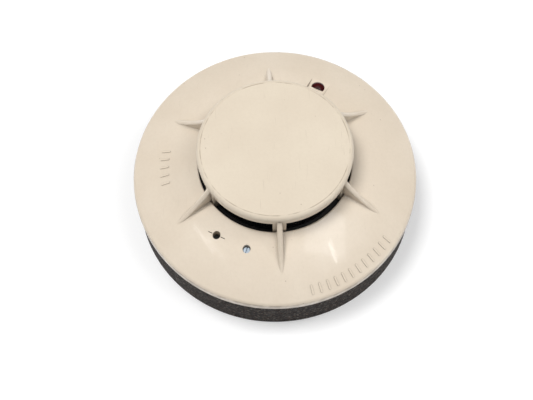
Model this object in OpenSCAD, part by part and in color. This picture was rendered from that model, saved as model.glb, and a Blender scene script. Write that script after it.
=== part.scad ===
// Ceiling heat detector: a sensing head that twists into a mounting base.
// Z = 0 is the face that lies against the ceiling and +Z runs along the axis to the cap.
// Angles are taken about the axis, counter-clockwise from +X; one fin lies on +Y.

/* [Outside] */
// Diameter over the rim of the cover
flange_d = 155; // [150:1:190]
// Height of the side wall of the mounting base
base_h = 24.2; // [22:0.1:32]
// How far the side wall stands back inside the rim of the cover
base_inset = 0.5; // [0.2:0.1:2]
// Straight height of the rim of the cover
rim_land = 2.5; // [1:0.1:5]
// Radius that rounds the rim into the sloping flange
rim_round = 2.5; // [2.4:0.1:4]
// Rise of the flange from the centre of the rim rounding to the edge of its opening
flange_rise = 15; // [12:0.1:20]
// Radius of the slight crown of the flange
crown_r = 200; // [120:5:400]
// Wall thickness of the cover
cover_wall = 2.2; // [1.6:0.1:2.4]

/* [Vents and cap] */
// Diameter of the opening in the flange
opening_d = 82.4; // [78:0.2:96]
// Height of the air gap all round, from the flange to the ring
vent_h = 9; // [7:0.1:12]
// Height of the ring that carries the cap
ring_h = 3.4; // [2.6:0.1:5]
// Thickness of the cap above the ring
cap_h = 3.2; // [2.8:0.1:4]
// Radius that rounds the edge of the cap
cap_round = 2.4; // [1.5:0.1:2.5]
// How far the cap stands out past the ring
cap_overhang = 0.35; // [0.1:0.05:1]
// Height of the shadow groove under the cap
groove_h = 0.5; // [0.3:0.1:1]
// Number of posts, and of fins in front of them
fin_count = 6; // [3:1:9]
// Width of a post
post_w = 7; // [4:0.5:10]
// Depth of a post, from front to back
post_t = 2.6; // [2:0.1:3]
// Width of a fin at its nose
fin_w = 3; // [2:0.1:4]
// Width that a fin narrows to at its tip
fin_tip_w = 2.3; // [1.5:0.1:2.5]
// Length of a fin down the flange, from the opening
fin_l = 21.1; // [15:0.1:24]
// Radius of the hollow curve of the fin's crest
fin_curve_r = 76; // [50:1:150]

/* [Mounting base] */
// Thickness of the side wall of the base
skirt_t = 2.4; // [1.8:0.1:3]
// Thickness of the floor of the base
floor_t = 2.6; // [2:0.1:4]
// Diameter of the cable opening in the floor
cable_hole_d = 40; // [30:1:44]
// Hole distance of the wide pair of fixing slots, along X
slot_wide = 83.3; // [80:0.1:90]
// Hole distance of the narrow pair of fixing slots, along Y
slot_narrow = 70; // [66:0.1:76]
// Width of a fixing slot
slot_w = 4.6; // [3.5:0.1:5]
// Length of a fixing slot, end to end
slot_l = 11; // [8:0.1:12]
// Depth of the space between the terminal plates and the head
terminal_drop = 8.6; // [8:0.1:10]
// Screw thread diameter of a terminal
terminal_screw_d = 3.5; // [3:0.1:4]
// Width of a wire clamp plate
clamp_w = 9; // [7:0.1:10]
// Thickness of the strip that the contacts are made of
strip_t = 0.6; // [0.4:0.1:0.8]

/* [Bayonet] */
// Number of bayonet lugs
lug_count = 3; // [2:1:4]
// Angle that a lug spans
lug_angle = 14; // [10:1:20]
// Angle that the head turns from locked to free
twist_angle = 18; // [18:1:24]
// Thickness of a lug and of the tab over it
lug_t = 2; // [1.5:0.1:3]
// How far a lug reaches out
lug_reach = 3.2; // [2:0.1:4]

/* [Head] */
// Depth of the back plate of the head below the rim
chassis_depth = 8.9; // [8:0.1:10]
// Thickness of the back plate of the head
chassis_t = 2.4; // [2:0.1:3]
// Wall thickness of the collar round the back plate
collar_t = 2; // [1.5:0.1:2.5]
// Diameter of a screw boss
boss_d = 7; // [6:0.1:8]
// Thread diameter of the cover and board screws
screw_d = 3; // [2.5:0.1:3.2]
// Height of the pillars under the circuit board
pillar_h = 3; // [2:0.1:5]
// Thickness of the circuit board
board_t = 1.6; // [1:0.1:2.4]
// Thickness of a contact blade
blade_t = 1; // [0.8:0.1:1.2]
// Length of a contact blade round its circle
blade_l = 8; // [6:0.1:10]
// Thickness of the foam seal between cover and back plate
seal_t = 1.2; // [0.8:0.1:2]

/* [Sensing chamber] */
// Thickness of the chamber's floor
chamber_t = 2; // [1.5:0.1:3]
// Depth of the chamber's floor below the flange opening
chamber_depth = 5.4; // [4.5:0.1:8]
// Thickness of the insect screen
screen_t = 0.8; // [0.5:0.1:1]
// Number of slits in the insect screen
screen_slits = 60; // [24:6:90]
// Diameter of the sensing bead
bead_d = 2.6; // [1.5:0.1:4]

/* [Indicator, test and trim] */
// Angle of the indicator about the axis
led_angle = 60; // [50:1:70]
// Distance of the indicator outside the flange opening
led_out = 12.6; // [11:0.1:14]
// Diameter of the indicator lens
led_d = 7; // [5:0.1:8]
// Distance of the lens's flat from its centre
led_flat = 1.2; // [1:0.1:3]
// Width of the recess round the indicator
recess_w = 11; // [10:0.1:14]
// Radial distance from the opening to where the recess runs out
recess_l = 17.6; // [16:0.1:22]
// Slope of the recess floor, in degrees
recess_slope = 8; // [4:0.5:12]
// Diameter of the test hole and of the trim hole
tool_hole_d = 4.2; // [3.8:0.1:5]
// Distance of the tool holes outside the flange opening
tool_out = 10.6; // [9:0.1:14]
// Angle of the test hole about the axis
test_angle = 230.7; // [226:0.1:233]
// Angle of the trim hole about the axis
trim_angle = 250.2; // [247:0.1:255]
// Diameter of the test plunger
plunger_d = 3.4; // [2.6:0.1:3.6]
// Depth of the plunger's top below the cover's surface
plunger_recess = 4; // [3:0.1:6]
// Travel of the test plunger
plunger_travel = 0.6; // [0.3:0.1:1]
// Diameter of the trimmer's shaft
trim_d = 3.5; // [2.6:0.1:3.6]
// Depth of the trimmer shaft's top below the cover's surface
trim_recess = 1.8; // [1:0.1:4]

/* [Clearances] */
// Gap between the turning head and the base
turn_gap = 0.3; // [0.2:0.05:0.5]
// Gap round pieces that are put together by hand
fit_gap = 0.2; // [0.1:0.05:0.4]
// Gap on each side of a contact blade in its jaw
jaw_gap = 0.15; // [0.1:0.05:0.3]
// Radial gap of a screw, rivet or shaft in its hole
pin_gap = 0.06; // [0.03:0.01:0.1]

/* [Hidden] */
$fn = 96;

// Heights, from the ceiling face upwards
rim_z = base_h + turn_gap;
chassis_z = rim_z - chassis_depth;
chassis_top = chassis_z + chassis_t;
board_z = chassis_top + pillar_h;
board_top = board_z + board_t;
lip_z = rim_z + rim_land + flange_rise;
chamber_top = lip_z - chamber_depth;
chamber_z = chamber_top - chamber_t;
ring_z = lip_z + vent_h;
seat_z = ring_z + ring_h;
cap_top = seat_z + cap_h;
terminal_z = chassis_z - terminal_drop;
lug_z = terminal_z + 3.9;
tab_z = lug_z + lug_t + turn_gap;
cover_land_z = rim_z + 2.1;
plunger_stop_z = board_top + 7.6;
bead_z = chamber_top + 9;

// Radii, from the rim inwards
cover_r = flange_d / 2;
base_r = cover_r - base_inset;
base_in_r = base_r - skirt_t;
chassis_r = base_in_r - turn_gap - 0.1;
collar_in_r = chassis_r - collar_t;
lug_skirt_r = chassis_r - lug_reach;
boss_r = lug_skirt_r - collar_t - boss_d / 2 + 0.5;
board_r = boss_r - boss_d / 2 - fit_gap;
pillar_r = board_r - boss_d;
blade_r = board_r - 4;
rivet_r = blade_r - 4;
terminal_r = blade_r - 10;

// Radii, from the vent opening inwards
lip_r = opening_d / 2;
ring_r = lip_r - 0.2;
post_r = ring_r - 0.2;
post_in_r = post_r - post_t;
spigot_r = post_in_r - fit_gap;
screen_r = spigot_r - fit_gap;
leg_r = screen_r - 4;
led_r = lip_r + led_out;
tool_r = lip_r + tool_out;

// Small fixed sizes
base_edge = 0.8;            // rounding of the base's two outer edges
slot_rim = 5;               // extra size of the raised rim round a fixing slot
rivet_d = 2.4;              // shank of a contact rivet
rivet_head_t = 0.8;         // thickness of a rivet's head
foot_t = 0.8;               // thickness of a blade's foot
foot_w = blade_l - 2;       // width of a blade's foot
leg_d = 5;                  // leg under the chamber's floor
leg_peg_d = leg_d - 1.6;    // peg of a leg, through the circuit board
guide_d = tool_hole_d + 3;  // tube that guides the plunger and the trimmer's shaft
lens_floor = 1.8;           // thickness under the recess round the indicator
tick_l = 2.4;               // length of the fine groove on each side of the test hole
tick_w = 0.4;               // width of that groove
mark_h = 0.35;              // how far a raised dash stands off the flange
mark_w = 0.9;               // width of a raised dash
lead_half = 1.3;            // half the distance between the sensing bead's leads
lead_d = 0.5;               // thickness of a lead

// Arcs of raised dashes: middle angle, angle step, count, inner radius, outer radius
mark_arcs = [[-58, 3.6, 12, 69.8, 74.4], [178, 4.6, 5, 57.4, 62]];

// Angles of the repeated features
fin_step = 360 / fin_count;
contact_angles = [15, 105, 195, 285];
boss_angles = [30, 150, 270];
pillar_angles = [90, 210, 330];

// Flange crown: an arc through the opening's edge that runs smoothly into the rim rounding
lip = [lip_r, lip_z];
rim_c = [cover_r - rim_round, rim_z + rim_land];
crown_c = arc_centre(lip, rim_c, crown_r, crown_r - rim_round, 1);
rim_n = (rim_c - crown_c) / norm(rim_c - crown_c);

// Fin crest: centre line of the round crest, from the nose in the ring to the tip
nose = [ring_r - 1, seat_z - 1.4];
tip_r = lip_r + fin_l;
tip = [tip_r - fin_w / 4, skin_z(tip_r) - fin_w * 0.45];
crest_c = arc_centre(nose, tip, fin_curve_r, fin_curve_r, -1);
nose_a = atan2(nose[1] - crest_c[1], nose[0] - crest_c[0]);
tip_a = atan2(tip[1] - crest_c[1], tip[0] - crest_c[0]);

// Centre of an arc: at distance ra from point a and rb from point b, to one side of the line
function arc_centre(a, b, ra, rb, side) =
    let (d = norm(b - a), u = (b - a) / d)
    let (along = (ra * ra - rb * rb + d * d) / (2 * d), off = sqrt(ra * ra - along * along))
    a + along * u + side * off * [u[1], -u[0]];

// Height of the cover's outer skin at radius r
function skin_z(r) = crown_c[1] + sqrt(crown_r * crown_r - pow(r - crown_c[0], 2));

// Puts the children at radius r and angle a, turned to face outwards
module at(r, a) {
    rotate([0, 0, a]) translate([r, 0, 0]) children();
}

// Upright round bar
module rod(r, z0, z1) {
    translate([0, 0, z0]) cylinder(r = r, h = z1 - z0);
}

// Ring with square edges
module ring(r0, r1, z0, z1) {
    difference() {
        rod(r1, z0, z1);
        rod(r0, z0 - 1, z1 + 1);
    }
}

// Part of a ring, over an angle centred on +X
module ring_part(r0, r1, z0, z1, angle) {
    rotate([0, 0, -angle / 2]) rotate_extrude(angle = angle)
        translate([r0, z0]) square([r1 - r0, z1 - z0]);
}

// Block centred on the axis in X and Y
module block(x, y, z0, z1) {
    translate([-x / 2, -y / 2, z0]) cube([x, y, z1 - z0]);
}

// Slot with round ends along X
module slot(l, w, z0, z1) {
    block(l - w, w, z0, z1);
    for (side = [-1, 1]) translate([side * (l - w) / 2, 0, 0]) rod(w / 2, z0, z1);
}

// Pan-head screw: shank along Z from z0 to z1, head of height h beyond the end called head_z
module pan_screw(d, z0, z1, head_d, head_h, up) {
    head_z = up ? z1 : z0 - head_h;
    slot_z = up ? z1 + head_h / 2 : z0 - head_h - 1;
    rod(d / 2, z0, z1);
    difference() {
        rod(head_d / 2, head_z, head_z + head_h);
        for (turn = [0, 90]) rotate([0, 0, turn])
            block(head_d * 0.6, 0.8, slot_z, slot_z + 1 + head_h / 2);
    }
}

// ---------------------------------------------------------------- mounting base

// Round moulded cup: side wall with a softened back edge, flat floor
module base_section() {
    edge = base_edge;
    difference() {
        square([base_r, base_h]);
        translate([-1, floor_t]) square([base_in_r + 1, base_h]);
        difference() {
            translate([base_r - edge, -1]) square([edge + 1, edge + 1]);
            translate([base_r - edge, edge]) circle(r = edge);
        }
        difference() {
            translate([base_r - edge, base_h - edge]) square([edge + 1, edge + 1]);
            translate([base_r - edge, base_h - edge]) circle(r = edge);
        }
    }
}

module terminal_seat() {
    block(clamp_w + 3, clamp_w + 3, floor_t - 0.5, terminal_z);
    block_l = blade_r + 2 - terminal_r;
    translate([block_l / 2, 0, 0]) block(block_l, blade_l, floor_t - 0.5, terminal_z);
}

// Tab over a lug, with a stop down to the floor at the locked end
module bayonet_tab() {
    ring_part(lug_skirt_r + turn_gap, base_in_r + 0.5, tab_z, tab_z + lug_t, lug_angle + 2);
    rotate([0, 0, -lug_angle / 2 - 0.2])
        ring_part(lug_skirt_r + turn_gap + 0.2, base_in_r + 0.4, floor_t - 0.5, tab_z + lug_t / 2, 1.2);
}

// The two pairs of fixing slots, grown by extra in length and width
module fixing_slots(extra, z0, z1) {
    for (side = [-1, 1]) {
        translate([side * slot_wide / 2, 0, 0]) slot(slot_l + extra, slot_w + extra, z0, z1);
        translate([0, side * slot_narrow / 2, 0]) rotate([0, 0, 90])
            slot(slot_l + extra, slot_w + extra, z0, z1);
    }
}

module mounting_base() {
    hole_r = cable_hole_d / 2;
    bed = floor_t - 0.5;
    rib = [base_in_r - hole_r - 0.5, 1.6, 1.9];
    notch = [2, 1.2, 4];
    color("dimgray") difference() {
        union() {
            rotate_extrude() base_section();
            ring(hole_r, hole_r + 2, bed, floor_t + 1.6);
            for (a = contact_angles) at(terminal_r, a) terminal_seat();
            for (i = [0:lug_count - 1]) rotate([0, 0, 360 / lug_count * (i + 0.5)]) bayonet_tab();
            for (a = [22.5:45:337.5]) rotate([0, 0, a])
                translate([hole_r + 1, -rib[1] / 2, bed]) cube(rib);
            fixing_slots(slot_rim, bed, floor_t + 0.8);
        }
        rod(hole_r, -1, floor_t + 5);
        fixing_slots(0, -1, floor_t + 5);
        for (a = contact_angles) at(terminal_r, a)
            rod(terminal_screw_d / 2 + pin_gap, floor_t, terminal_z + 1);
        rotate([0, 0, -36]) translate([base_r - 0.6, -notch[1] / 2, base_h - 3]) cube(notch);
    }
}

// Bronze strip under each terminal with a jaw that holds the head's blade
module contact_spring() {
    strip_w = blade_l - 1;
    jaw = blade_t / 2 + jaw_gap;
    top = terminal_z + terminal_drop - 2;
    jaw_angle = strip_w / blade_r * 180 / PI;
    difference() {
        translate([terminal_r - strip_w / 2, -strip_w / 2, terminal_z])
            cube([blade_r + jaw + strip_t - terminal_r + strip_w / 2 - 0.2, strip_w, strip_t]);
        translate([terminal_r, 0, 0]) rod(terminal_screw_d / 2 + pin_gap, terminal_z - 1, terminal_z + 2);
    }
    ring_part(blade_r - jaw - strip_t, blade_r - jaw, terminal_z, top, jaw_angle);
    ring_part(blade_r + jaw, blade_r + jaw + strip_t, terminal_z, top, jaw_angle);
}

module contact_springs() {
    color("darkgoldenrod") for (a = contact_angles) rotate([0, 0, a]) contact_spring();
}

// Square wire clamp plate with turned-down edges
module terminal_clamps() {
    clamp_z = terminal_z + strip_t + 1.2;
    color("silver") for (a = contact_angles) at(terminal_r, a) difference() {
        union() {
            block(clamp_w, clamp_w, clamp_z, clamp_z + 1);
            for (side = [-1, 1]) translate([0, side * (clamp_w - 0.8) / 2, 0])
                block(clamp_w, 0.8, clamp_z - 1, clamp_z + 1);
        }
        rod(terminal_screw_d / 2 + pin_gap, clamp_z - 1, clamp_z + 2);
    }
}

module terminal_screws() {
    clamp_top = terminal_z + strip_t + 2.2;
    color("silver") for (a = contact_angles) at(terminal_r, a)
        pan_screw(terminal_screw_d, floor_t + 0.2, clamp_top, terminal_screw_d * 1.9, 2.2, true);
}

// ---------------------------------------------------------------- back of the head

module chassis() {
    color("ivory") difference() {
        union() {
            rod(chassis_r, chassis_z, chassis_top);
            ring(collar_in_r, chassis_r, chassis_z, cover_land_z - seal_t);
            ring(lug_skirt_r - collar_t, lug_skirt_r, lug_z, chassis_z + 0.5);
            for (i = [0:lug_count - 1]) rotate([0, 0, 360 / lug_count * (i + 0.5)])
                ring_part(lug_skirt_r - 0.5, chassis_r, lug_z, lug_z + lug_t, lug_angle - 2);
            for (a = pillar_angles) at(pillar_r, a) rod(boss_d / 2, chassis_z, board_z);
        }
        for (a = pillar_angles) at(pillar_r, a) rod(screw_d / 2 + pin_gap, chassis_z + 1, board_z + 1);
        for (a = boss_angles) at(boss_r, a) rod(screw_d / 2 + fit_gap, chassis_z - 1, chassis_top + 1);
        for (a = contact_angles) at(rivet_r, a) rod(rivet_d / 2 + pin_gap, chassis_z - 1, chassis_top + 1);
    }
}

// Blade that drops into the base's jaw, on a foot riveted to the back plate
module contact_blades() {
    blade_angle = blade_l / blade_r * 180 / PI;
    color("gold") for (a = contact_angles) rotate([0, 0, a]) {
        ring_part(blade_r - blade_t / 2, blade_r + blade_t / 2, terminal_z + 2, chassis_z, blade_angle);
        difference() {
            translate([rivet_r - foot_w / 2, -foot_w / 2, chassis_z - foot_t])
                cube([blade_r - rivet_r + foot_w / 2, foot_w, foot_t]);
            translate([rivet_r, 0, 0]) rod(rivet_d / 2 + pin_gap, chassis_z - 2, chassis_z + 1);
        }
    }
}

// Rivets that carry the line from the blades up to the circuit board
module contact_rivets() {
    color("gold") for (a = contact_angles) at(rivet_r, a) {
        rod(rivet_d / 2, chassis_z - foot_t, board_top + 0.6);
        rod(rivet_d, chassis_z - foot_t - rivet_head_t, chassis_z - foot_t);
    }
}

module circuit_board() {
    color("darkgreen") difference() {
        rod(board_r, board_z, board_top);
        for (a = pillar_angles) at(pillar_r, a) rod(screw_d / 2 + fit_gap, board_z - 1, board_top + 1);
        for (a = contact_angles) at(rivet_r, a) rod(rivet_d / 2 + pin_gap, board_z - 1, board_top + 1);
        for (a = pillar_angles) at(leg_r, a) rod(leg_peg_d / 2 + fit_gap, board_z - 1, board_top + 1);
        rotate([0, 0, 180]) translate([board_r - 2, -3, board_z - 1]) cube([4, 6, board_t + 2]);
    }
}

module board_screws() {
    color("silver") for (a = pillar_angles) at(pillar_r, a)
        pan_screw(screw_d, chassis_z + 1.4, board_top, screw_d * 1.9, 1.8, true);
}

// ---------------------------------------------------------------- cover

// Everything under the cover's outer skin, from the opening to the rim
module under_skin() {
    edge = 0.8;
    edge_r = lip_r + edge;
    edge_c = [edge_r, crown_c[1] + sqrt(pow(crown_r - edge, 2) - pow(edge_r - crown_c[0], 2))];
    edge_n = (edge_c - crown_c) / norm(edge_c - crown_c);
    far = rim_round * 4;
    difference() {
        intersection() {
            translate(crown_c) circle(r = crown_r, $fn = 360);
            translate([lip_r, rim_z]) square([cover_r - lip_r, lip_z - rim_z + 1]);
        }
        difference() {
            polygon([rim_c, rim_c + [far, 0], rim_c + [far, far], rim_c + far * rim_n]);
            translate(rim_c) circle(r = rim_round);
        }
        difference() {
            polygon([edge_c, edge_c + [-far, 0], edge_c + [-far, far], edge_c + far * edge_n]);
            translate(edge_c) circle(r = edge);
        }
    }
}

// Shell of the cover, with a deep edge round the opening and a flat land for the seal
module cover_section() {
    difference() {
        under_skin();
        difference() {
            intersection() {
                translate(crown_c) circle(r = crown_r - cover_wall, $fn = 360);
                translate([0, rim_z - 1]) square([cover_r - cover_wall, lip_z]);
            }
            translate([lip_r - 1, chamber_top]) square([3, lip_z]);
            translate([collar_in_r, cover_land_z]) square([cover_r, 3]);
        }
    }
}

// Ring under the cap, with softened edges
module ring_section() {
    edge = 0.5;
    translate([post_in_r, ring_z]) square([ring_r - post_in_r - edge, ring_h]);
    translate([post_in_r, ring_z + edge]) square([ring_r - post_in_r, ring_h - 2 * edge]);
    for (z = [ring_z + edge, seat_z - edge]) translate([ring_r - edge, z]) circle(r = edge);
}

module posts() {
    intersection() {
        rotate_extrude() {
            translate([post_in_r, chamber_top]) square([post_t, ring_z + 1 - chamber_top]);
            translate([post_in_r, chamber_top])
                square([lip_r + 0.5 - post_in_r, lip_z - 1.2 - chamber_top]);
        }
        for (i = [0:fin_count - 1]) rotate([0, 0, 90 + i * fin_step])
            translate([0, -post_w / 2, 0]) cube([lip_r + 5, post_w, cap_top]);
    }
}

// One fin along +X: a slab below the crest's centre line, and the round crest itself
module fin() {
    half = fin_w / 2;
    low = skin_z(tip_r) - 6;
    intersection() {
        union() {
            rotate([90, 0, 0]) linear_extrude(height = fin_w, center = true) difference() {
                polygon([[nose[0], low], nose, tip, [tip[0], low]]);
                translate(crest_c) circle(r = fin_curve_r, $fn = 360);
                translate(crown_c) circle(r = crown_r - 1, $fn = 360);
            }
            translate([crest_c[0], 0, crest_c[1]]) rotate([90, 0, 0]) rotate([0, 0, nose_a])
                rotate_extrude(angle = tip_a - nose_a, $fn = 360)
                    translate([fin_curve_r, 0]) circle(r = half, $fn = 48);
        }
        linear_extrude(height = cap_top)
            polygon([[ring_r - 2, -half], [tip_r + 3, -fin_tip_w / 2],
                     [tip_r + 3, fin_tip_w / 2], [ring_r - 2, half]]);
    }
}

// Recess round the indicator: a gently sloping floor cut into the flange
module recess_cut() {
    z0 = skin_z(lip_r + recess_l);
    rotate([0, 0, led_angle]) translate([lip_r + recess_l, 0, z0]) rotate([0, recess_slope, 0])
        translate([-recess_l - 4, -recess_w / 2, 0]) cube([recess_l + 8, recess_w, 20]);
}

// Floor and side walls of the recess, before the recess is cut
module recess_floor() {
    z0 = skin_z(lip_r + recess_l);
    difference() {
        rotate([0, 0, led_angle]) intersection() {
            translate([lip_r + recess_l, 0, z0]) rotate([0, recess_slope, 0])
                translate([-recess_l, -recess_w / 2 - 1.5, -lens_floor]) cube([recess_l, recess_w + 3, 20]);
            translate([lip_r + 1.9, -recess_w, 0]) cube([recess_l, 2 * recess_w, cap_top]);
        }
        recess_cut();
    }
}

// Height of the recess floor at radius r
function recess_z(r) = skin_z(lip_r + recess_l) + (lip_r + recess_l - r) * tan(recess_slope);

// D-shaped prism: a round with a flat towards the axis
module d_prism(d, flat, z0, z1) {
    intersection() {
        rod(d / 2, z0, z1);
        translate([-flat, -d, z0]) cube([2 * d, 2 * d, z1 - z0]);
    }
}

// Plain raised dashes that stand a little off the flange, in an arc
module raised_marks(arc) {
    centre = arc[0];
    step = arc[1];
    count = arc[2];
    r0 = arc[3];
    r1 = arc[4];
    intersection() {
        rotate_extrude() difference() {
            translate(crown_c) circle(r = crown_r + mark_h, $fn = 360);
            translate(crown_c) circle(r = crown_r - 1, $fn = 360);
            translate([-2 * crown_r, -2 * crown_r]) square([2 * crown_r + r0 - 1, 4 * crown_r]);
            translate([r1 + 1, -2 * crown_r]) square([2 * crown_r, 4 * crown_r]);
            translate([0, -2 * crown_r]) square([2 * crown_r, 2 * crown_r]);
        }
        for (i = [0:count - 1]) rotate([0, 0, centre + (i - (count - 1) / 2) * step])
            translate([r0, -mark_w / 2, 0]) cube([r1 - r0, mark_w, cap_top]);
    }
}

module cover() {
    tool_angles = [test_angle, trim_angle];
    tick_out = tool_hole_d / 2 + 0.4 + tick_l / 2;
    color("antiquewhite") difference() {
        union() {
            difference() {
                rotate_extrude() cover_section();
                recess_cut();
            }
            rotate_extrude() ring_section();
            posts();
            for (i = [0:fin_count - 1]) rotate([0, 0, 90 + i * fin_step]) fin();
            intersection() {
                rotate_extrude() under_skin();
                union() {
                    for (a = tool_angles) at(tool_r, a) rod(guide_d / 2, plunger_stop_z, lip_z);
                    for (a = boss_angles) at(boss_r, a) rod(boss_d / 2, chassis_top, lip_z);
                    recess_floor();
                }
            }
            for (arc = mark_arcs) raised_marks(arc);
        }
        for (a = tool_angles) at(tool_r, a) rod(tool_hole_d / 2, plunger_stop_z - 1, lip_z + 1);
        for (a = boss_angles) at(boss_r, a)
            rod(screw_d / 2 + pin_gap, chassis_top - 1, chassis_top + 9);
        at(led_r, led_angle)
            d_prism(led_d + 2 * fit_gap, led_flat + fit_gap, recess_z(led_r) - 5, lip_z + 1);
        at(tool_r, test_angle) rotate([0, 0, 99]) for (side = [-1, 1])
            translate([side * tick_out, 0, skin_z(tool_r) - 1.6]) block(tick_l, tick_w, 0, 6);
    }
}

module cover_screws() {
    color("silver") for (a = boss_angles) at(boss_r, a)
        pan_screw(screw_d, chassis_z, chassis_top + 8, 5.6, 2, false);
}

module seal_ring() {
    color("black") ring(collar_in_r + fit_gap, chassis_r - fit_gap, cover_land_z - seal_t, cover_land_z);
}

// ---------------------------------------------------------------- sensing chamber

module chamber_base() {
    step_r = screen_r - screen_t;
    leads_in = lead_d / 2 + 0.3;
    color("black") difference() {
        union() {
            rod(lip_r + 1.7, chamber_z, chamber_top);
            ring(step_r - 1.6, step_r - fit_gap, chamber_top - 0.5, chamber_top + 2);
            for (a = pillar_angles) at(leg_r, a) rod(leg_d / 2, board_top, chamber_z + 0.5);
            for (a = pillar_angles) at(leg_r, a) rod(leg_peg_d / 2, board_z, board_top + 0.5);
            rod(4, chamber_top - 0.5, chamber_top + 4);
            for (a = [0:60:300]) rotate([0, 0, a]) translate([3, -0.6, chamber_top - 0.5])
                cube([step_r - 5, 1.2, 1.7]);
        }
        for (side = [-1, 1]) translate([side * lead_half, 0, 0])
            rod(leads_in, chamber_z - 1, chamber_top + 5);
    }
}

// Cylinder of upright slits between two hoops
module insect_screen() {
    color("black") difference() {
        ring(screen_r - screen_t, screen_r, chamber_top, ring_z);
        for (i = [0:screen_slits - 1]) rotate([0, 0, (i + 0.5) * 360 / screen_slits])
            translate([screen_r - screen_t - 1, -0.9, chamber_top + 1.6])
                cube([screen_t + 2, 1.8, ring_z - chamber_top - 3.2]);
    }
}

// Flat cap with a rounded edge, a shadow groove and a spigot inside the ring
module cap_section() {
    cap_r = ring_r + cap_overhang;
    low = seat_z + groove_h;
    square_r = cap_r - cap_round;
    translate([0, seat_z]) square([ring_r - 0.8, groove_h + 0.1]);
    difference() {
        union() {
            translate([0, low]) square([square_r, cap_top - low]);
            translate([0, low]) square([cap_r, cap_top - cap_round - low]);
            translate([square_r, cap_top - cap_round]) circle(r = cap_round);
        }
        translate([0, low - 2 * cap_round]) square([2 * cap_r, 2 * cap_round]);
    }
}

module chamber_cap() {
    color("antiquewhite") {
        rotate_extrude() cap_section();
        ring(spigot_r - 2, spigot_r, ring_z, seat_z + 0.5);
        for (a = [0:60:300]) rotate([0, 0, a + 30]) translate([0, -0.6, ring_z + 1])
            cube([spigot_r - 1, 1.2, ring_h]);
    }
}

module sensing_thermistor() {
    color("saddlebrown") {
        translate([0, 0, bead_z]) sphere(r = bead_d / 2);
        rotate([0, 90, 0]) translate([-bead_z, 0, -lead_half])
            cylinder(r = lead_d / 2, h = 2 * lead_half);
        for (side = [-1, 1]) translate([side * lead_half, 0, 0])
            rod(lead_d / 2, board_top, bead_z + lead_d / 2);
    }
}

// ---------------------------------------------------------------- on the circuit board

module reference_thermistor() {
    color("saddlebrown") at(20, 150) {
        translate([0, 0, board_top + 3]) sphere(r = bead_d / 2);
        for (side = [-1, 1]) translate([side * 0.7, 0, 0]) rod(lead_d / 2, board_top, board_top + 3);
    }
}

module led_lens() {
    top = recess_z(led_r) + 1.2;
    dome_r = led_d * 0.72;
    low = recess_z(led_r) - 4.2;
    color("darkred") at(led_r, led_angle) {
        intersection() {
            d_prism(led_d, led_flat, low - 0.5, top + 1);
            translate([0, 0, top - dome_r]) union() {
                sphere(r = dome_r);
                rod(dome_r, low - top, 0);
            }
        }
        rod(led_d / 2 + 1, low - 1.2, low - fit_gap);
        rod(2.2, board_top + 3.4, low - 1);
    }
}

module led_emitter() {
    color("mistyrose") at(led_r, led_angle) {
        block(3.5, 2.8, board_top, board_top + 1.9);
        rod(1.2, board_top + 1.5, board_top + 2.8);
    }
}

module test_switch() {
    color("darkslategray") at(tool_r, test_angle) difference() {
        block(6, 6, board_top, board_top + 4.3);
        rod(plunger_d / 2 + pin_gap, board_top + 1.5, board_top + 5);
    }
}

// Long button from the switch up into the cover's guide, with a collar under the guide
module test_plunger() {
    top = skin_z(tool_r) - plunger_recess;
    color("dimgray") at(tool_r, test_angle) {
        rod(plunger_d / 2, board_top + 1.5 + plunger_travel + 0.2, top);
        rod(plunger_d / 2 + 1, plunger_stop_z - 1.2, plunger_stop_z - fit_gap);
    }
}

module trimmer_body() {
    color("steelblue") at(tool_r, trim_angle) difference() {
        block(6.6, 6.8, board_top, board_top + 5);
        rod(trim_d / 2 + pin_gap, board_top + 1.5, board_top + 6);
    }
}

module trimmer_rotor() {
    top = skin_z(tool_r) - trim_recess;
    color("lightsteelblue") at(tool_r, trim_angle) difference() {
        rod(trim_d / 2, board_top + 1.7, top);
        block(trim_d + 1, 0.8, top - 1, top + 1);
    }
}

module microcontroller() {
    color("black") at(22, 40) {
        block(4, 9.9, board_top + 0.2, board_top + 1.75);
        for (i = [-3:3], side = [-1, 1]) translate([side * 2.5, i * 1.27, 0])
            block(1.3, 0.45, board_top, board_top + 0.7);
    }
}

module electrolytic_capacitors() {
    color("slategray") for (a = [165, 181]) at(44, a) {
        rod(4, board_top, board_top + 7);
        rod(3.4, board_top + 6.5, board_top + 7.4);
    }
}

module chip_resistors() {
    color("dimgray") for (i = [0:11]) at(27 + 4 * (i % 3), 298 + 9 * floor(i / 3))
        block(1.6, 0.9, board_top, board_top + 0.5);
}

module chip_capacitors() {
    color("tan") for (i = [0:5]) at(26, 250 + 7 * i) block(2, 1.25, board_top, board_top + 0.9);
}

module bridge_rectifier() {
    color("black") at(46, 350) {
        block(4, 4.7, board_top + 0.2, board_top + 2.4);
        for (x = [-1, 1], y = [-1, 1]) translate([x * 2.4, y * 1.3, 0])
            block(1.4, 0.6, board_top, board_top + 0.8);
    }
}

module voltage_regulator() {
    color("black") at(46, 130) {
        block(3.5, 6.5, board_top + 0.1, board_top + 1.7);
        for (i = [-1:1]) translate([-2.3, i * 2.3, 0]) block(1.8, 0.7, board_top, board_top + 0.6);
        translate([2.3, 0, 0]) block(1.8, 3, board_top, board_top + 0.6);
    }
}

module surge_suppressor() {
    color("royalblue") at(46, 30) {
        translate([-1.5, 0, board_top + 4.5]) rotate([0, 90, 0]) cylinder(r = 3.5, h = 3);
        for (side = [-1, 1]) translate([0, side * 2.5, 0]) rod(0.3, board_top, board_top + 2.5);
    }
}

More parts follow.
